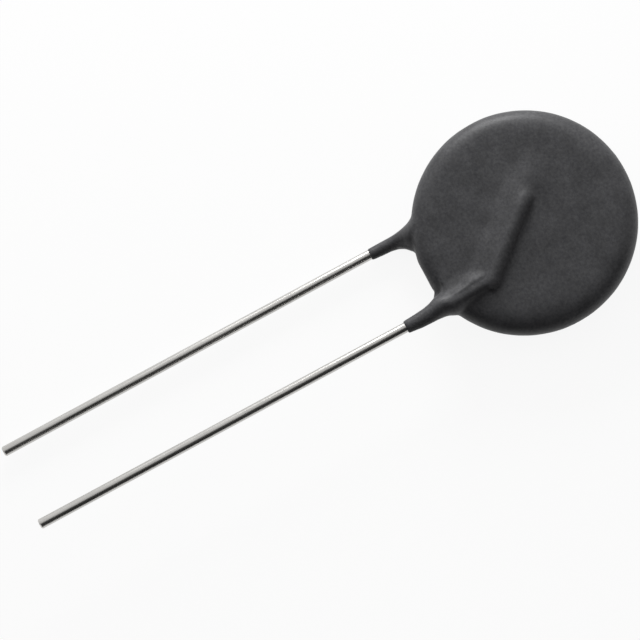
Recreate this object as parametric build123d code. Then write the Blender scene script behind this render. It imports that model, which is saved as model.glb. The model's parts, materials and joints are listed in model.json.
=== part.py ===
"""Disc thermistor with two straight leads, lying on its rear face.

A sintered ceramic disc carries a fired silver electrode on each face. One tinned
copper wire is soldered to each electrode, and both wires run out side by side.
A black coating, dipped on over all of it, shows the bent wire as a ridge on each
face and runs a little way down both leads.

The model is built about the middle of the ceramic disc: x across the leads, y away
from them and z out of the front face. The rear's pieces are the front's, turned half
round about the line that runs midway between the leads. At the end everything is
moved so that the part lies on the ridge of its rear face. Millimetres throughout.
"""
from build123d import *
from math import cos, radians, sin
import os

# Ceramic and electrodes
ceramic_diameter = 19.6
ceramic_thickness = 3.0
electrode_margin = 0.7
electrode_thickness = 0.03

# Leads: round wire, straight outside the coating, leaning over the disc inside it
wire_diameter = 1.0
lead_pitch = 8.4
lead_shift = -0.48
exposed_length = 39.9
tip_chamfer = 0.12
lean_angle = 40.0
lean_start = 5.6
lean_length = 8.5
lean_bend_radius = 2.2

# Where a wire rides up onto the disc it springs out a little
ride_height = 0.1
ride_start = 1.05
ride_length = 4.2

# Solder: a mound along the wire, with a thin film below and above it
solder_film = 0.05
solder_cover = 0.1
solder_foot = 0.45
solder_start = 1.2
solder_overrun = 0.3

# Coating
face_coat = 0.45
edge_coat = 1.1
flat_inset = 0.4
flat_corner_radius = 2.5
ridge_coat = 0.43
ridge_fillet = 0.75
neck_length = 3.75
neck_root_place = 3.45
neck_waist_place = 2.1
neck_waist_coat = 0.16
neck_end_coat = 0.04

# Heights above the middle of the disc
electrode_face = ceramic_thickness / 2 + electrode_thickness
coat_face = electrode_face + face_coat
wire_radius = wire_diameter / 2
seat_height = electrode_face + solder_film + wire_radius
lead_height = seat_height - ride_height

# Reaches from the middle of the disc
electrode_radius = ceramic_diameter / 2 - electrode_margin
coat_radius = ceramic_diameter / 2 + edge_coat
neck_end = coat_radius + neck_length
lead_tip = neck_end + exposed_length
ridge_radius = wire_radius + ridge_coat
ridge_top = lead_height + ridge_radius

front_lead_x = lead_shift + lead_pitch / 2
lean = Vector(-sin(radians(lean_angle)), cos(radians(lean_angle)), 0)
between_leads = Axis((lead_shift, 0, 0), (0, 1, 0))


def on_rear(front_piece):
    return front_piece.rotate(between_leads, 180)


def bend_point(height):
    """The corner of the front wire's centre line, where it starts to lean."""
    return Vector(front_lead_x, -lean_start, height)


def swept(section, path):
    """A section with its own y upwards, swept along a path that runs away from the tips."""
    start = path % 0
    plane = Plane(origin=path @ 0, x_dir=Vector(0, 0, 1).cross(start), z_dir=start)
    return sweep(plane * section, path=path, transition=Transition.RIGHT)


def ceramic_disc():
    return Cylinder(ceramic_diameter / 2, ceramic_thickness)


def electrode():
    middle = (ceramic_thickness + electrode_thickness) / 2
    return Pos(0, 0, middle) * Cylinder(electrode_radius, electrode_thickness)


def lead():
    ride_foot = ride_start - neck_end
    ride_end = Vector(front_lead_x, ride_foot + ride_length, seat_height)
    bend = bend_point(seat_height)
    outside = Polyline(
        Vector(front_lead_x, -lead_tip, lead_height),
        Vector(front_lead_x, ride_foot, lead_height),
        ride_end,
    )
    over_disc = FilletPolyline(
        ride_end, bend, bend + lean * lean_length, radius=lean_bend_radius
    )
    wire = swept(Circle(wire_radius), outside + over_disc)
    tip_edge = wire.edges().filter_by(GeomType.CIRCLE).sort_by(Axis.Y)[0]
    return chamfer(tip_edge, tip_chamfer)


def solder():
    """Mound along the leaning wire, from just after its bend to just past its end."""
    bend = bend_point(electrode_face)
    run = Line(bend + lean * solder_start, bend + lean * (lean_length + solder_overrun))
    wire_middle = seat_height - electrode_face
    top_radius = wire_radius + solder_cover
    foot = top_radius + solder_foot
    left, right = (-top_radius, wire_middle), (top_radius, wire_middle)
    over = ThreePointArc(left, (0, wire_middle + top_radius), right)
    under = Polyline(right, (foot, 0), (-foot, 0), left)
    return swept(make_face([over, under]), run)


def coated_disc():
    """The coating round the ceramic: flat faces, a full round edge, drained flat below."""
    middle = coat_radius - coat_face
    circle = Circle(middle)
    plan = circle & (Pos(0, flat_inset) * Rectangle(4 * middle, 2 * middle))
    corners = plan.vertices().sort_by(Axis.Y)[:2]
    plan = fillet(corners, flat_corner_radius)
    core = extrude(plan, amount=coat_face, both=True)

    outline = Wire(plan.edges())
    outward = (outline % 0).cross(Vector(0, 0, 1))
    across = Plane(origin=outline @ 0, x_dir=outward, z_dir=outline % 0)
    top, bottom = (0, coat_face), (0, -coat_face)
    half_round = make_face([ThreePointArc(bottom, (coat_face, 0), top), Line(top, bottom)])
    return core + sweep(across * half_round, path=outline)


def ridge():
    """The coating over the front wire: a round bar over the disc and a neck down the lead."""
    root = neck_root_place - neck_end
    bend = bend_point(lead_height)
    end = bend + lean * lean_length
    path = FilletPolyline(
        Vector(front_lead_x, root, lead_height), bend, end, radius=lean_bend_radius
    )
    bar = swept(Circle(ridge_radius), path) + Pos(end) * Sphere(ridge_radius)
    half_neck = Polyline(
        (0, -neck_end),
        (wire_radius + neck_end_coat, -neck_end),
        (wire_radius + neck_waist_coat, neck_waist_place - neck_end),
        (ridge_radius, root),
        (0, root),
        close=True,
    )
    neck = Pos(front_lead_x, 0, lead_height) * revolve(make_face(half_neck), Axis.Y)
    return bar + neck


def coating(inner_pieces):
    """Outer form of the coating, less all that it encloses."""
    shell = coated_disc()
    front_ridge = ridge()
    for bar in (front_ridge, on_rear(front_ridge)):
        joined = shell + bar
        roots = new_edges(shell, bar, combined=joined)
        shell = fillet(roots, ridge_fillet)
    for piece in inner_pieces:
        shell -= piece
    return shell


def build():
    pieces = {"ceramic_disc": ceramic_disc()}
    for name, make in (("electrode", electrode), ("solder", solder), ("lead", lead)):
        front_piece = make()
        pieces["front_" + name] = front_piece
        pieces["rear_" + name] = on_rear(front_piece)
    for end in ("front_", "rear_"):
        pieces[end + "solder"] -= pieces[end + "lead"]
    pieces["coating"] = coating(pieces.values())
    return pieces


if __name__ == "__main__":
    os.makedirs("parts", exist_ok=True)
    lying = Pos(0, (lead_tip - coat_radius) / 2, ridge_top)
    for name, piece in build().items():
        placed = lying * piece
        print(name, placed.is_valid, len(placed.solids()), placed.volume)
        export_step(placed, f"parts/{name}.step")
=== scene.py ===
"""Dresses the disc thermistor: its dipped coating, its tinned leads and the stage it lies on."""

import json
from math import cos, pi, radians, sin

import bpy
from mathutils import Matrix, Vector

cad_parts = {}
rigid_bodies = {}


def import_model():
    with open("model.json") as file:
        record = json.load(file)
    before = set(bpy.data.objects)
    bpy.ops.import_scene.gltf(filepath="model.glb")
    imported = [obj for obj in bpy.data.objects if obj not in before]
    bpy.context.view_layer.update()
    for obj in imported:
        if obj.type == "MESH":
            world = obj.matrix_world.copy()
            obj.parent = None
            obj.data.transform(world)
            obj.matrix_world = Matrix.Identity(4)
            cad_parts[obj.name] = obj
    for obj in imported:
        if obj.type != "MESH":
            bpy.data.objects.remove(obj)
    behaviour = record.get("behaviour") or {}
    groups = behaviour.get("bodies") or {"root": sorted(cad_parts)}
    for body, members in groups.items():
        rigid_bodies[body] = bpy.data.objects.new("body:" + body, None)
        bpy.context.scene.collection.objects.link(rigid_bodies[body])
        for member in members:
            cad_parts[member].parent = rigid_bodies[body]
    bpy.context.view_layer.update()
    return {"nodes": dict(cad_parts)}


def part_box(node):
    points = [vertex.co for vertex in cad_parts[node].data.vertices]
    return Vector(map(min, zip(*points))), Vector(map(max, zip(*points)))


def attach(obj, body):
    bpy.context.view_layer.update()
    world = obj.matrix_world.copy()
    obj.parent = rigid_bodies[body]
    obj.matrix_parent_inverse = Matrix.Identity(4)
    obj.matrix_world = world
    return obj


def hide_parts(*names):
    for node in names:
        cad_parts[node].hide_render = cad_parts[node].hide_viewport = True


bl_info = {
    "name": "Disc thermistor",
    "version": (1, 0, 0),
    "blender": (4, 5, 0),
    "location": "View3D > Sidebar > Thermistor",
    "description": "Dipped coating, tinned leads and studio stage of a disc thermistor",
    "category": "Object",
}

MM = 0.001
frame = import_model()
coat_low, coat_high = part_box("coating")
ceramic_low, ceramic_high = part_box("ceramic_disc")

# The coating is modelled about the middle of the ceramic disc, as the CAD part is
disc_middle = (ceramic_low + ceramic_high) / 2
disc_radius = (coat_high.x - coat_low.x) / 2
neck_reach = disc_middle.y - coat_low.y
wire_radius = 0.5 * MM
front_wire_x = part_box("front_lead")[1].x - wire_radius - disc_middle.x
rear_wire_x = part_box("rear_lead")[0].x + wire_radius - disc_middle.x
between_wires = (front_wire_x + rear_wire_x) / 2

# The slab under the ridges: its sides, how much of its half thickness the edge's rounding
# takes and in how many steps, how often it is smoothed, and how near two heights count as
# one. A round bar has fewer sides.
SLAB_SIDES = 256
ROUND_SHARE = 0.92
ROUND_STEPS = 12
SLAB_ROUNDS = 50
SAME_HEIGHT = 1e-6
BAR_SIDES = 48

# The melted skin is softened fully down to one place on the necks and by a small share
# beyond the other, which keeps them slim, and then lightly all over. Both places are Y
# values from the disc's middle.
SOFT_PLACE = -10.4 * MM
FIRM_PLACE = -12.6 * MM
FIRM_SHARE = 0.12
SOFT_ROUNDS = 24
LIGHT_ROUNDS = 4
SMOOTHING = 0.5

# The coating's slight unevenness
WAVE_LENGTH = 3.2 * MM
WAVE_HEIGHT = 0.05 * MM
WAVE_MIDDLE = 0.6

# Most values of a noise pattern lie between these two
PATTERN_LOW = 0.3
PATTERN_HIGH = 0.7

COATING_SHEEN = 0.27
DARK_SPECK = (0.72, 0.72, 0.74)
PALE_SPECK = (1.28, 1.28, 1.26)

# The stage: the share of plain white in the floor's look, where the room turns from pale
# to dark, the soft box beside the disc, and the camera's sensor in millimetres
FLOOR_SIZE = 4
FLOOR_GLOW = 0.91
ROOM_PALE_UNTIL = -0.22
ROOM_DARK_FROM = 0.26
KEY_DIRECTION = (-0.95, 0.23, 0.33)
KEY_DISTANCE = 0.16
KEY_WIDTH = 0.075
SENSOR_WIDTH = 36
CLIP_START = 0.01


class CoatingSettings(bpy.types.PropertyGroup):
    edge_radius: bpy.props.FloatProperty(
        name="Edge round", description="Half the thickness of the coated disc",
        default=1.98 * MM, min=1 * MM, max=3 * MM, unit="LENGTH",
    )
    flat_inset: bpy.props.FloatProperty(
        name="Flat inset", description="How far the drained flat lies inside the round outline",
        default=0.17 * MM, min=0.0, max=2 * MM, unit="LENGTH",
    )
    bend_place: bpy.props.FloatProperty(
        name="Bend place", description="Distance of the wire's bend from the disc's middle",
        default=5.6 * MM, min=2 * MM, max=9 * MM, unit="LENGTH",
    )
    lean_angle: bpy.props.FloatProperty(
        name="Lean angle", description="Angle of the wire over the disc to the leads",
        default=radians(40), min=0.0, max=radians(80), subtype="ANGLE",
    )
    wire_height: bpy.props.FloatProperty(
        name="Wire height", description="Height of the wire's middle above the disc's middle",
        default=1.98 * MM, min=1 * MM, max=3 * MM, unit="LENGTH",
    )
    grain: bpy.props.FloatProperty(
        name="Mesh grain", description="Size of the mesh that the shapes are melted together on",
        default=0.125 * MM, min=0.1 * MM, max=0.5 * MM, unit="LENGTH",
    )
    colour: bpy.props.FloatVectorProperty(
        name="Coating colour", description="Main colour of the dipped resin",
        default=(0.0512, 0.0512, 0.0542), min=0.0, max=1.0, size=3, subtype="COLOR",
    )
    roughness: bpy.props.FloatProperty(
        name="Coating roughness", description="Dullness of the resin",
        default=0.47, min=0.0, max=1.0,
    )


class MetalSettings(bpy.types.PropertyGroup):
    tin_colour: bpy.props.FloatVectorProperty(
        name="Tin colour", description="Colour of the tinned wire",
        default=(0.58, 0.57, 0.55), min=0.0, max=1.0, size=3, subtype="COLOR",
    )
    tin_roughness: bpy.props.FloatProperty(
        name="Tin roughness", description="Dullness of the tinned wire",
        default=0.27, min=0.0, max=1.0,
    )
    silver_colour: bpy.props.FloatVectorProperty(
        name="Silver colour", description="Colour of the fired electrodes",
        default=(0.78, 0.77, 0.74), min=0.0, max=1.0, size=3, subtype="COLOR",
    )
    ceramic_colour: bpy.props.FloatVectorProperty(
        name="Ceramic colour", description="Colour of the sintered oxide",
        default=(0.06, 0.06, 0.065), min=0.0, max=1.0, size=3, subtype="COLOR",
    )


class StageSettings(bpy.types.PropertyGroup):
    tilt: bpy.props.FloatProperty(
        name="Camera tilt",
        description="Lean of the view from straight above towards the front lead",
        default=radians(8), subtype="ANGLE",
    )
    roll: bpy.props.FloatProperty(
        name="Lead direction", description="Angle of the leads to the picture's level line",
        default=radians(28.31), subtype="ANGLE",
    )
    view_width: bpy.props.FloatProperty(
        name="View width", description="Width of the picture where the part lies",
        default=61.38 * MM, unit="LENGTH",
    )
    disc_right: bpy.props.FloatProperty(
        name="Disc right", description="How far right of the picture's middle the disc lies",
        default=19.62 * MM, unit="LENGTH",
    )
    disc_up: bpy.props.FloatProperty(
        name="Disc up", description="How far above the picture's middle the disc lies",
        default=9.32 * MM, unit="LENGTH",
    )
    distance: bpy.props.FloatProperty(
        name="Camera distance", description="From the camera to the part",
        default=0.7, unit="LENGTH",
    )
    floor_colour: bpy.props.FloatVectorProperty(
        name="Floor colour", description="Colour of the plain floor",
        default=(0.92, 0.92, 0.92), min=0.0, max=1.0, size=3, subtype="COLOR",
    )
    key_power: bpy.props.FloatProperty(
        name="Key power", description="Watts of the soft light beside the disc",
        default=0.29, min=0.0,
    )
    room_light: bpy.props.FloatProperty(
        name="Room light", description="Level of the light from the room's pale side",
        default=0.82, min=0.0,
    )
    dark_side: bpy.props.FloatProperty(
        name="Dark side", description="Level of the light from the room's dark side",
        default=0.03, min=0.0,
    )
    dark_angle: bpy.props.FloatProperty(
        name="Dark angle", description="Where the room's dark side lies, turned from the X axis",
        default=-radians(30), subtype="ANGLE",
    )


def deselect_all():
    for thing in bpy.context.view_layer.objects:
        thing.select_set(False)


def take(*pieces):
    """Selects these pieces alone, the last one active."""
    deselect_all()
    for piece in pieces:
        piece.select_set(True)
    bpy.context.view_layer.objects.active = pieces[-1]


def apply_place(piece):
    take(piece)
    bpy.ops.object.transform_apply(location=True, rotation=True, scale=True)


def apply_modifier(piece, kind, **values):
    take(piece)
    modifier = piece.modifiers.new(kind.title(), kind)
    for name, value in values.items():
        setattr(modifier, name, value)
    bpy.ops.object.modifier_apply(modifier=modifier.name)


def select_edges(piece, wanted):
    """In edit mode, selects the edges whose two ends pass the test."""
    bpy.ops.mesh.select_mode(type="EDGE")
    bpy.ops.mesh.select_all(action="DESELECT")
    bpy.ops.object.mode_set(mode="OBJECT")
    points = piece.data.vertices
    for edge in piece.data.edges:
        a, b = (points[i].co for i in edge.vertices)
        edge.select = wanted(a, b)
    bpy.ops.object.mode_set(mode="EDIT")


def coated_disc(size):
    """Round slab whose faces dome softly into its edge, with one drained flat."""
    deselect_all()
    face = size.edge_radius
    bpy.ops.mesh.primitive_cylinder_add(
        vertices=SLAB_SIDES, radius=disc_radius, depth=2 * face, location=(0, 0, 0)
    )
    slab = bpy.context.active_object
    bpy.ops.object.mode_set(mode="EDIT")
    select_edges(
        slab, lambda a, b: abs(abs(a.z) - face) < SAME_HEIGHT and abs(a.z - b.z) < SAME_HEIGHT
    )
    bpy.ops.mesh.bevel(offset=ROUND_SHARE * face, segments=ROUND_STEPS, affect="EDGES")
    bpy.ops.object.mode_set(mode="OBJECT")
    whole = slab.dimensions.copy()
    apply_modifier(slab, "REMESH", mode="VOXEL", voxel_size=2 * size.grain, adaptivity=0)
    apply_modifier(slab, "SMOOTH", factor=SMOOTHING, iterations=SLAB_ROUNDS)
    slab.dimensions = whole
    apply_place(slab)
    bpy.ops.object.mode_set(mode="EDIT")
    bpy.ops.mesh.select_all(action="SELECT")
    flat = disc_radius - size.flat_inset
    bpy.ops.mesh.bisect(
        plane_co=(0, -flat, 0), plane_no=(0, -1, 0), use_fill=True, clear_outer=True
    )
    bpy.ops.object.mode_set(mode="OBJECT")
    return slab


def section(form):
    """A flat outline, 2 across and 2 high: round, or a wedge with its crest at the right."""
    deselect_all()
    upright = (pi / 2, 0, 0)
    if form == "round":
        bpy.ops.mesh.primitive_circle_add(
            vertices=BAR_SIDES, radius=1, fill_type="NGON", rotation=upright
        )
        apply_place(bpy.context.active_object)
        return bpy.context.active_object
    bpy.ops.mesh.primitive_plane_add(size=2, rotation=upright)
    outline = bpy.context.active_object
    apply_place(outline)
    bpy.ops.object.mode_set(mode="EDIT")
    bpy.ops.mesh.select_mode(type="VERT")
    bpy.ops.mesh.select_all(action="DESELECT")
    bpy.ops.object.mode_set(mode="OBJECT")
    for corner in outline.data.vertices:
        corner.select = corner.co.x < 0 and corner.co.z > 0
    bpy.ops.object.mode_set(mode="EDIT")
    bpy.ops.transform.translate(value=(0, 0, -2))
    bpy.ops.mesh.select_all(action="SELECT")
    bpy.ops.mesh.remove_doubles()
    bpy.ops.object.mode_set(mode="OBJECT")
    return outline


def grown_bar(name, form, rings):
    """A bar grown ring by ring from a flat section."""
    bar = section(form)
    bar.name = name
    bpy.ops.object.mode_set(mode="EDIT")
    bpy.ops.mesh.select_all(action="SELECT")
    middle = Vector((0, 0, 0))
    half = Vector((1, 1, 1))
    for number, (along, left, right, top, bottom) in enumerate(rings):
        new_middle = Vector(((right - left) / 2, along, (top + bottom) / 2)) * MM
        new_half = Vector(((right + left) / 2 * MM, 1, (top - bottom) / 2 * MM))
        step = new_middle - middle
        if number:
            bpy.ops.mesh.extrude_region_move(TRANSFORM_OT_translate={"value": step})
        else:
            bpy.ops.transform.translate(value=step)
        growth = [new_half[i] / half[i] for i in range(3)]
        bpy.ops.transform.resize(value=growth, center_override=new_middle)
        middle, half = new_middle, new_half
    bpy.ops.mesh.select_all(action="SELECT")
    bpy.ops.mesh.normals_make_consistent(inside=False)
    bpy.ops.object.mode_set(mode="OBJECT")
    return bar


# The rings of every bar: a place along it, the reach to the left and to the right of the
# wire, and the top and bottom height above the wire's middle, in millimetres. The left is
# the front lead's inner side. The places on a neck count from the end of the CAD coating.
FRONT_NECK = (
    (-0.20, 0.560, 0.560, 0.555, -0.550),
    (-0.10, 0.64, 0.66, 0.60, -0.60),
    (1.20, 0.71, 0.80, 0.67, -0.66),
    (2.20, 0.80, 0.83, 0.72, -0.80),
    (2.90, 0.98, 0.82, 0.78, -1.15),
    (3.50, 1.26, 0.84, 0.85, -1.75),
    (4.00, 1.38, 0.88, 0.90, -2.35),
    (4.70, 1.30, 1.20, 0.90, -2.95),
    (5.40, 1.05, 1.20, 0.88, -3.40),
    (7.00, 0.95, 1.08, 0.86, -3.60),
    (8.60, 1.25, 0.97, 0.83, -3.30),
    (9.60, 1.20, 0.85, 0.78, -2.50),
)
REAR_NECK = (
    (0.12, 0.545, 0.545, 0.545, -0.545),
    (0.22, 0.62, 0.575, 0.59, -0.58),
    (1.20, 0.69, 0.575, 0.62, -0.62),
    (2.20, 0.76, 0.57, 0.66, -0.78),
    (2.90, 0.93, 0.57, 0.74, -1.15),
    (3.50, 1.28, 0.59, 0.82, -1.75),
    (4.00, 1.95, 0.64, 0.90, -2.35),
    (4.70, 1.70, 0.78, 0.90, -2.95),
    (5.40, 1.05, 1.12, 0.88, -3.40),
    (7.00, 0.95, 1.08, 0.86, -3.60),
    (8.60, 1.25, 0.97, 0.83, -3.30),
    (9.60, 1.20, 0.85, 0.78, -2.50),
)

# What joins a neck to the disc: a thin coat all round the wire, a low web that fills the
# corner of the outline, and the resin that has run down to the neck's left
NECK_SHAPES = (
    ("wire_coat", "round", (
        (0.30, 0.57, 0.57, 0.57, -0.57),
        (2.20, 0.58, 0.58, 0.58, -0.58),
        (2.90, 0.61, 0.61, 0.61, -0.61),
        (3.50, 0.67, 0.67, 0.67, -0.67),
        (4.10, 0.73, 0.73, 0.73, -0.73),
        (5.00, 0.78, 0.78, 0.78, -0.78),
        (6.50, 0.80, 0.80, 0.80, -0.80),
    )),
    ("neck_web", "round", (
        (2.90, 0.90, 0.50, -0.60, -1.00),
        (3.30, 1.20, 0.50, -0.75, -1.35),
        (3.70, 1.66, 0.50, -0.85, -1.70),
        (4.00, 2.15, 0.50, -0.90, -2.00),
        (4.40, 2.50, 0.50, -0.90, -2.35),
        (5.00, 2.60, 0.50, -0.90, -2.70),
    )),
    ("neck_foot", "wedge", (
        (3.60, 1.15, -0.70, 0.05, -0.60),
        (4.20, 1.50, -0.70, 0.22, -0.40),
        (5.15, 2.00, -0.70, 0.32, -0.02),
        (6.65, 2.15, -0.85, 0.38, -0.02),
        (8.65, 2.70, -1.00, 0.40, -0.02),
        (9.60, 2.90, -1.10, 0.36, -0.02),
    )),
    ("neck_side", "wedge", (
        (3.70, 1.10, -0.38, 0.40, -0.5),
        (4.60, 1.35, -0.42, 0.78, -0.05),
        (5.15, 1.35, -0.42, 0.82, -0.02),
        (6.65, 1.50, -0.52, 0.84, -0.02),
        (8.65, 2.30, -0.70, 0.80, -0.02),
        (9.60, 2.40, -0.70, 0.66, -0.02),
    )),
)

# The ridge over the leaning wire and the resin beside it. The places count from the wire's
# bend. A wedge rises from its left foot to its crest at the right, or the other way where
# its left reach is below zero.
RIDGE_SHAPES = (
    ("ridge", "round", (
        (-0.70, 0.75, 0.75, 0.78, -1.2),
        (0.00, 0.95, 1.02, 0.95, -1.6),
        (7.60, 0.95, 1.00, 0.93, -1.6),
        (8.30, 0.94, 1.00, 0.88, -1.6),
        (8.80, 0.92, 0.98, 0.80, -1.5),
        (9.20, 0.84, 0.90, 0.67, -1.3),
        (9.60, 0.80, 0.58, 0.52, -1.1),
        (10.1, 0.75, 0.20, 0.37, -0.9),
        (10.7, 0.60, -0.15, 0.22, -0.7),
        (11.3, 0.50, -0.30, 0.03, -0.6),
    )),
    ("ridge_side", "wedge", (
        (-0.90, 2.60, -0.20, 0.62, -0.02),
        (0.40, 2.95, -0.35, 0.78, -0.02),
        (7.00, 2.95, -0.35, 0.78, -0.02),
        (8.00, 3.05, -0.36, 0.74, -0.02),
        (8.60, 3.15, -0.38, 0.68, -0.02),
        (9.20, 3.20, -0.41, 0.58, -0.02),
        (10.0, 3.20, -0.46, 0.44, -0.02),
        (10.8, 3.10, -0.53, 0.30, -0.02),
        (11.7, 2.90, -0.60, 0.15, -0.02),
        (12.9, 2.60, -0.65, -0.01, -0.02),
    )),
    ("ridge_end", "wedge", (
        (8.80, -0.80, -0.38, 0.40, -0.02),
        (9.40, -1.00, -0.42, 0.40, -0.02),
        (10.0, -1.40, -0.47, 0.33, -0.02),
        (10.8, -1.90, -0.54, 0.22, -0.02),
        (11.7, -2.30, -0.60, 0.10, -0.02),
        (12.7, -2.50, -0.65, -0.01, -0.02),
    )),
    ("run_off", "wedge", (
        (-2.00, 4.50, 0.20, 0.03, -0.04),
        (0.60, 6.00, 0.20, 0.28, -0.02),
        (9.00, 5.60, 0.20, 0.27, -0.02),
        (10.0, 5.20, -0.40, 0.22, -0.02),
        (11.5, 4.60, -0.60, 0.12, -0.02),
        (13.2, 4.00, -0.60, -0.01, -0.02),
    )),
    ("run_end", "wedge", (
        (8.00, -1.60, -0.30, -0.01, -0.03),
        (9.40, -2.40, -0.35, 0.12, -0.02),
        (10.4, -3.20, -0.43, 0.18, -0.02),
        (11.5, -3.40, -0.59, 0.11, -0.02),
        (13.2, -2.80, -0.59, -0.01, -0.02),
    )),
)


def ridge(size, neck_rings):
    """The coating over the front wire: a neck, and a ridge that leans from the wire's bend."""
    neck_shapes = (("neck", "round", neck_rings), *NECK_SHAPES)
    bars = []
    for shapes, along, lean in (
        (neck_shapes, -neck_reach, 0),
        (RIDGE_SHAPES, -size.bend_place, size.lean_angle),
    ):
        for name, form, rings in shapes:
            bar = grown_bar(name, form, rings)
            bar.location = (front_wire_x, along, size.wire_height)
            bar.rotation_euler = (0, 0, lean)
            apply_place(bar)
            bars.append(bar)
    return bars


def turned_to_rear(piece):
    """Turns a piece half round about the line between the leads."""
    piece.location = (2 * between_wires, 0, 0)
    piece.rotation_euler = (0, pi, 0)
    apply_place(piece)
    return piece


def melt(piece, size):
    """Melts the joined shapes into one skin and softens it, less so down the necks."""
    apply_modifier(piece, "REMESH", mode="VOXEL", voxel_size=size.grain, adaptivity=0)
    skin = piece.vertex_groups.new(name="soft")
    for point in piece.data.vertices:
        share = (point.co.y - FIRM_PLACE) / (SOFT_PLACE - FIRM_PLACE)
        skin.add([point.index], min(1.0, max(FIRM_SHARE, share)), "REPLACE")
    apply_modifier(
        piece, "SMOOTH", factor=SMOOTHING, iterations=SOFT_ROUNDS, vertex_group="soft"
    )
    apply_modifier(piece, "SMOOTH", factor=SMOOTHING, iterations=LIGHT_ROUNDS)
    piece.vertex_groups.clear()
    waves = bpy.data.textures.new("coating_unevenness", "CLOUDS")
    waves.noise_scale = WAVE_LENGTH
    waves.noise_depth = 1
    apply_modifier(
        piece, "DISPLACE", texture=waves, texture_coords="LOCAL",
        strength=WAVE_HEIGHT, mid_level=WAVE_MIDDLE,
    )
    bpy.data.textures.remove(waves)


def fresh_material(name):
    material = bpy.data.materials.new(name)
    material.use_nodes = True
    nodes, links = material.node_tree.nodes, material.node_tree.links
    return material, nodes, links, nodes["Principled BSDF"]


def noise(nodes, links, coordinates, scale, detail=2.0, roughness=0.5, stretch=None):
    """A noise pattern on the piece's own coordinates, at so many grains to the metre."""
    texture = nodes.new("ShaderNodeTexNoise")
    texture.inputs["Scale"].default_value = scale
    texture.inputs["Detail"].default_value = detail
    texture.inputs["Roughness"].default_value = roughness
    source = coordinates.outputs["Object"]
    if stretch:
        mapping = nodes.new("ShaderNodeMapping")
        mapping.inputs["Scale"].default_value = stretch
        links.new(source, mapping.inputs["Vector"])
        source = mapping.outputs["Vector"]
    links.new(source, texture.inputs["Vector"])
    return texture.outputs["Fac"]


def ramp(nodes, links, source, low, high):
    """Turns a pattern into a run from one colour to another."""
    run = nodes.new("ShaderNodeValToRGB")
    run.color_ramp.elements[0].position = PATTERN_LOW
    run.color_ramp.elements[1].position = PATTERN_HIGH
    run.color_ramp.elements[0].color = (*low, 1)
    run.color_ramp.elements[1].color = (*high, 1)
    links.new(source, run.inputs["Fac"])
    return run.outputs["Color"]


def level(nodes, links, source, low, high):
    """Turns a pattern into a run from one number to another."""
    run = nodes.new("ShaderNodeMapRange")
    run.inputs["From Min"].default_value = PATTERN_LOW
    run.inputs["From Max"].default_value = PATTERN_HIGH
    run.inputs["To Min"].default_value = low
    run.inputs["To Max"].default_value = high
    links.new(source, run.inputs["Value"])
    return run.outputs["Result"]


def bump(nodes, links, height, distance, strength, under=None):
    """Makes a fine relief of a pattern, upon the relief under it if there is one."""
    relief = nodes.new("ShaderNodeBump")
    relief.inputs["Strength"].default_value = strength
    relief.inputs["Distance"].default_value = distance
    links.new(height, relief.inputs["Height"])
    if under:
        links.new(under, relief.inputs["Normal"])
    return relief.outputs["Normal"]


def shade(colour, factor):
    """The same colour, lighter or darker."""
    return tuple(min(1.0, part * factor) for part in colour)


def coating_material(size):
    material, nodes, links, shader = fresh_material("black_coating")
    place = nodes.new("ShaderNodeTexCoord")
    cloud = noise(nodes, links, place, scale=420, detail=3)
    grain = noise(nodes, links, place, scale=3600, detail=3, roughness=0.6)
    fine = noise(nodes, links, place, scale=9000)
    colour = tuple(size.colour)
    base = ramp(nodes, links, cloud, shade(colour, 0.82), shade(colour, 1.18))
    speck = ramp(nodes, links, grain, DARK_SPECK, PALE_SPECK)
    mixed = nodes.new("ShaderNodeMix")
    mixed.data_type = "RGBA"
    mixed.blend_type = "MULTIPLY"
    mixed.inputs["Factor"].default_value = 1.0
    links.new(base, mixed.inputs["A"])
    links.new(speck, mixed.inputs["B"])
    links.new(mixed.outputs["Result"], shader.inputs["Base Color"])
    links.new(
        level(nodes, links, cloud, size.roughness - 0.04, size.roughness + 0.05),
        shader.inputs["Roughness"],
    )
    shader.inputs["Specular IOR Level"].default_value = COATING_SHEEN
    coarse = bump(nodes, links, grain, distance=0.018 * MM, strength=0.8)
    relief = bump(nodes, links, fine, distance=0.004 * MM, strength=0.6, under=coarse)
    links.new(relief, shader.inputs["Normal"])
    return material


def tin_material(size):
    material, nodes, links, shader = fresh_material("tinned_copper")
    place = nodes.new("ShaderNodeTexCoord")
    drawn = noise(
        nodes, links, place, scale=1, detail=3, roughness=0.6, stretch=(9000, 160, 9000)
    )
    cloud = noise(nodes, links, place, scale=500)
    colour = tuple(size.tin_colour)
    base = ramp(nodes, links, cloud, shade(colour, 0.93), colour)
    links.new(base, shader.inputs["Base Color"])
    shader.inputs["Metallic"].default_value = 1.0
    links.new(
        level(nodes, links, drawn, size.tin_roughness - 0.05, size.tin_roughness + 0.07),
        shader.inputs["Roughness"],
    )
    relief = bump(nodes, links, drawn, distance=0.003 * MM, strength=0.5)
    links.new(relief, shader.inputs["Normal"])
    return material


def silver_material(size):
    material, nodes, links, shader = fresh_material("fired_silver")
    place = nodes.new("ShaderNodeTexCoord")
    grain = noise(nodes, links, place, scale=5000)
    colour = tuple(size.silver_colour)
    base = ramp(nodes, links, grain, shade(colour, 0.9), colour)
    links.new(base, shader.inputs["Base Color"])
    shader.inputs["Metallic"].default_value = 1.0
    links.new(level(nodes, links, grain, low=0.42, high=0.55), shader.inputs["Roughness"])
    relief = bump(nodes, links, grain, distance=0.004 * MM, strength=0.5)
    links.new(relief, shader.inputs["Normal"])
    return material


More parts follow.
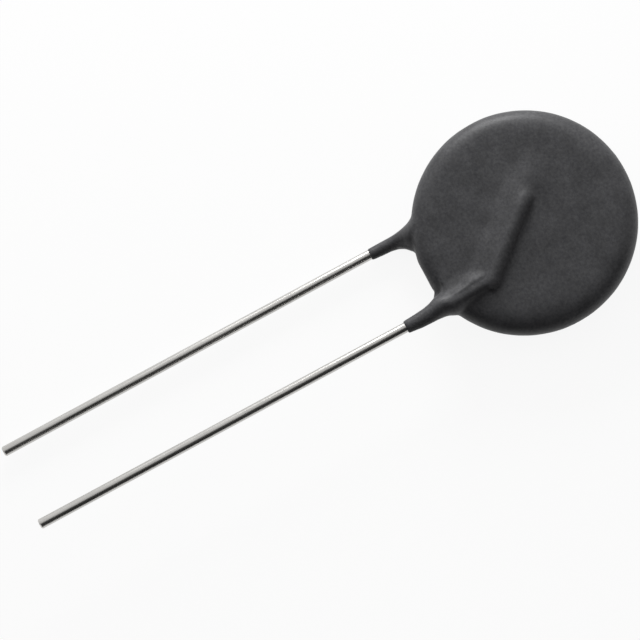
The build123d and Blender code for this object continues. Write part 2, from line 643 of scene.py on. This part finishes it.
def solder_material():
    material, nodes, links, shader = fresh_material("solder")
    place = nodes.new("ShaderNodeTexCoord")
    ripple = noise(nodes, links, place, scale=900, detail=3)
    base = ramp(nodes, links, ripple, (0.5, 0.5, 0.5), (0.62, 0.62, 0.61))
    links.new(base, shader.inputs["Base Color"])
    shader.inputs["Metallic"].default_value = 1.0
    links.new(level(nodes, links, ripple, low=0.3, high=0.45), shader.inputs["Roughness"])
    relief = bump(nodes, links, ripple, distance=0.02 * MM, strength=0.5)
    links.new(relief, shader.inputs["Normal"])
    return material


def ceramic_material(size):
    material, nodes, links, shader = fresh_material("sintered_ceramic")
    place = nodes.new("ShaderNodeTexCoord")
    grain = noise(nodes, links, place, scale=6000, detail=3)
    colour = tuple(size.ceramic_colour)
    base = ramp(nodes, links, grain, shade(colour, 0.8), shade(colour, 1.2))
    links.new(base, shader.inputs["Base Color"])
    links.new(level(nodes, links, grain, low=0.7, high=0.85), shader.inputs["Roughness"])
    relief = bump(nodes, links, grain, distance=0.006 * MM, strength=0.6)
    links.new(relief, shader.inputs["Normal"])
    return material


def dress(node, material):
    """Gives a CAD node this material in each of its slots."""
    piece = frame["nodes"][node]
    if not piece.material_slots:
        piece.data.materials.append(material)
    for place in piece.material_slots:
        place.material = material


class THERMISTOR_OT_coating(bpy.types.Operator):
    """Models the dipped coating over the disc, the bent wires and the tops of the leads"""

    bl_idname = "thermistor.coating"
    bl_label = "Make the coating"

    def execute(self, context):
        size = context.scene.thermistor_coating
        slab = coated_disc(size)
        shapes = ridge(size, FRONT_NECK)
        shapes += [turned_to_rear(shape) for shape in ridge(size, REAR_NECK)]
        take(*shapes, slab)
        bpy.ops.object.join()
        coat = bpy.context.active_object
        coat.name = coat.data.name = "dipped_coating"
        melt(coat, size)
        coat.location = disc_middle
        apply_place(coat)
        bpy.ops.object.shade_smooth()
        coat.data.materials.clear()
        coat.data.materials.append(coating_material(size))
        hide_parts("coating")
        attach(coat, "root")
        return {"FINISHED"}


class THERMISTOR_OT_leads(bpy.types.Operator):
    """Gives both leads their drawn and tinned finish"""

    bl_idname = "thermistor.leads"
    bl_label = "Finish the leads"

    def execute(self, context):
        tin = tin_material(context.scene.thermistor_metal)
        for node in ("front_lead", "rear_lead"):
            dress(node, tin)
        return {"FINISHED"}


class THERMISTOR_OT_inside(bpy.types.Operator):
    """Finishes the ceramic, the electrodes and the solder inside the coating"""

    bl_idname = "thermistor.inside"
    bl_label = "Finish the inside"

    def execute(self, context):
        size = context.scene.thermistor_metal
        dress("ceramic_disc", ceramic_material(size))
        silver, solder = silver_material(size), solder_material()
        for side in ("front", "rear"):
            dress(side + "_electrode", silver)
            dress(side + "_solder", solder)
        return {"FINISHED"}


def seen_or_mirrored(nodes, links):
    """1 where the camera looks, also by way of metal or glass, and 0 for other light."""
    path = nodes.new("ShaderNodeLightPath")
    total = path.outputs["Is Camera Ray"]
    for name in ("Is Glossy Ray", "Is Transmission Ray"):
        adder = nodes.new("ShaderNodeMath")
        adder.operation = "MAXIMUM"
        links.new(total, adder.inputs[0])
        links.new(path.outputs[name], adder.inputs[1])
        total = adder.outputs[0]
    return total


def floor_material(colour):
    """Pale matte floor that is near white to the eye and keeps its shadows."""
    material, nodes, links, shader = fresh_material("pale_floor")
    shader.inputs["Base Color"].default_value = (*colour, 1)
    shader.inputs["Roughness"].default_value = 0.9
    shader.inputs["Specular IOR Level"].default_value = 0.2
    glow = nodes.new("ShaderNodeEmission")
    glow.inputs["Color"].default_value = (1, 1, 1, 1)
    glow.inputs["Strength"].default_value = 1.0
    share = nodes.new("ShaderNodeMath")
    share.operation = "MULTIPLY"
    share.inputs[1].default_value = FLOOR_GLOW
    links.new(seen_or_mirrored(nodes, links), share.inputs[0])
    both = nodes.new("ShaderNodeMixShader")
    links.new(share.outputs[0], both.inputs["Fac"])
    links.new(shader.outputs["BSDF"], both.inputs[1])
    links.new(glow.outputs["Emission"], both.inputs[2])
    links.new(both.outputs["Shader"], nodes["Material Output"].inputs["Surface"])
    return material


def soft_light(name, aim, direction, distance, width, power):
    """A square soft box that shines on a point from a direction."""
    lamp = bpy.data.lights.new(name, "AREA")
    lamp.shape = "SQUARE"
    lamp.size = width
    lamp.energy = power
    holder = bpy.data.objects.new(name, lamp)
    bpy.context.scene.collection.objects.link(holder)
    toward = Vector(direction).normalized()
    holder.location = aim + toward * distance
    holder.rotation_euler = toward.to_track_quat("Z", "Y").to_euler()


def room(pale, dark, dark_angle):
    """A room that turns from pale to dark towards an angle from the X axis."""
    world = bpy.context.scene.world or bpy.data.worlds.new("room")
    bpy.context.scene.world = world
    world.use_nodes = True
    nodes, links = world.node_tree.nodes, world.node_tree.links
    place = nodes.new("ShaderNodeTexCoord")
    toward = nodes.new("ShaderNodeVectorMath")
    toward.operation = "DOT_PRODUCT"
    toward.inputs[1].default_value = (cos(dark_angle), sin(dark_angle), 0)
    links.new(place.outputs["Generated"], toward.inputs[0])
    turn = nodes.new("ShaderNodeMapRange")
    turn.interpolation_type = "SMOOTHSTEP"
    turn.inputs["From Min"].default_value = ROOM_PALE_UNTIL
    turn.inputs["From Max"].default_value = ROOM_DARK_FROM
    turn.inputs["To Min"].default_value = pale
    turn.inputs["To Max"].default_value = dark
    links.new(toward.outputs["Value"], turn.inputs["Value"])
    links.new(turn.outputs["Result"], nodes["Background"].inputs["Strength"])
    nodes["Background"].inputs["Color"].default_value = (1, 1, 1, 1)


class THERMISTOR_OT_stage(bpy.types.Operator):
    """Sets the floor, the lights and the camera that looks down on the part"""

    bl_idname = "thermistor.stage"
    bl_label = "Set the stage"

    def execute(self, context):
        stage = context.scene.thermistor_stage
        deselect_all()
        bpy.ops.mesh.primitive_plane_add(size=FLOOR_SIZE, location=(0, 0, 0))
        floor = bpy.context.active_object
        floor.name = "floor"
        floor.data.materials.append(floor_material(tuple(stage.floor_colour)))

        across = Vector((cos(stage.tilt), 0, -sin(stage.tilt)))
        along = Vector((0, 1, 0))
        right = along * cos(stage.roll) + across * sin(stage.roll)
        up = along * sin(stage.roll) - across * cos(stage.roll)
        back = right.cross(up)
        aim = disc_middle - right * stage.disc_right - up * stage.disc_up
        lens = bpy.data.cameras.new("camera")
        lens.sensor_width = SENSOR_WIDTH
        lens.lens = SENSOR_WIDTH * stage.distance / stage.view_width
        lens.clip_start = CLIP_START
        eye = bpy.data.objects.new("camera", lens)
        context.scene.collection.objects.link(eye)
        turn = Matrix((right, up, back)).transposed().to_4x4()
        eye.matrix_world = Matrix.Translation(aim + back * stage.distance) @ turn
        context.scene.camera = eye

        soft_light(
            "key_light", disc_middle, KEY_DIRECTION, KEY_DISTANCE, KEY_WIDTH, stage.key_power
        )
        room(stage.room_light, stage.dark_side, stage.dark_angle)
        context.scene.view_settings.view_transform = "Standard"
        return {"FINISHED"}


class THERMISTOR_PT_panel(bpy.types.Panel):
    bl_idname = "THERMISTOR_PT_panel"
    bl_label = "Disc thermistor"
    bl_space_type = "VIEW_3D"
    bl_region_type = "UI"
    bl_category = "Thermistor"

    def draw(self, context):
        scene = context.scene
        for group, operators in (
            (scene.thermistor_coating, ("thermistor.coating",)),
            (scene.thermistor_metal, ("thermistor.leads", "thermistor.inside")),
            (scene.thermistor_stage, ("thermistor.stage",)),
        ):
            column = self.layout.box().column()
            for name in group.__annotations__:
                column.prop(group, name)
            for operator in operators:
                column.operator(operator)


SETTINGS = {
    "thermistor_coating": CoatingSettings,
    "thermistor_metal": MetalSettings,
    "thermistor_stage": StageSettings,
}
CLASSES = (
    CoatingSettings,
    MetalSettings,
    StageSettings,
    THERMISTOR_OT_coating,
    THERMISTOR_OT_leads,
    THERMISTOR_OT_inside,
    THERMISTOR_OT_stage,
    THERMISTOR_PT_panel,
)


def register():
    for item in CLASSES:
        bpy.utils.register_class(item)
    for name, group in SETTINGS.items():
        setattr(bpy.types.Scene, name, bpy.props.PointerProperty(type=group))


def unregister():
    for name in SETTINGS:
        delattr(bpy.types.Scene, name)
    for item in reversed(CLASSES):
        bpy.utils.unregister_class(item)


def main():
    register()
    bpy.ops.thermistor.coating()
    bpy.ops.thermistor.leads()
    bpy.ops.thermistor.inside()
    bpy.ops.thermistor.stage()


if __name__ == "__main__":
    main()
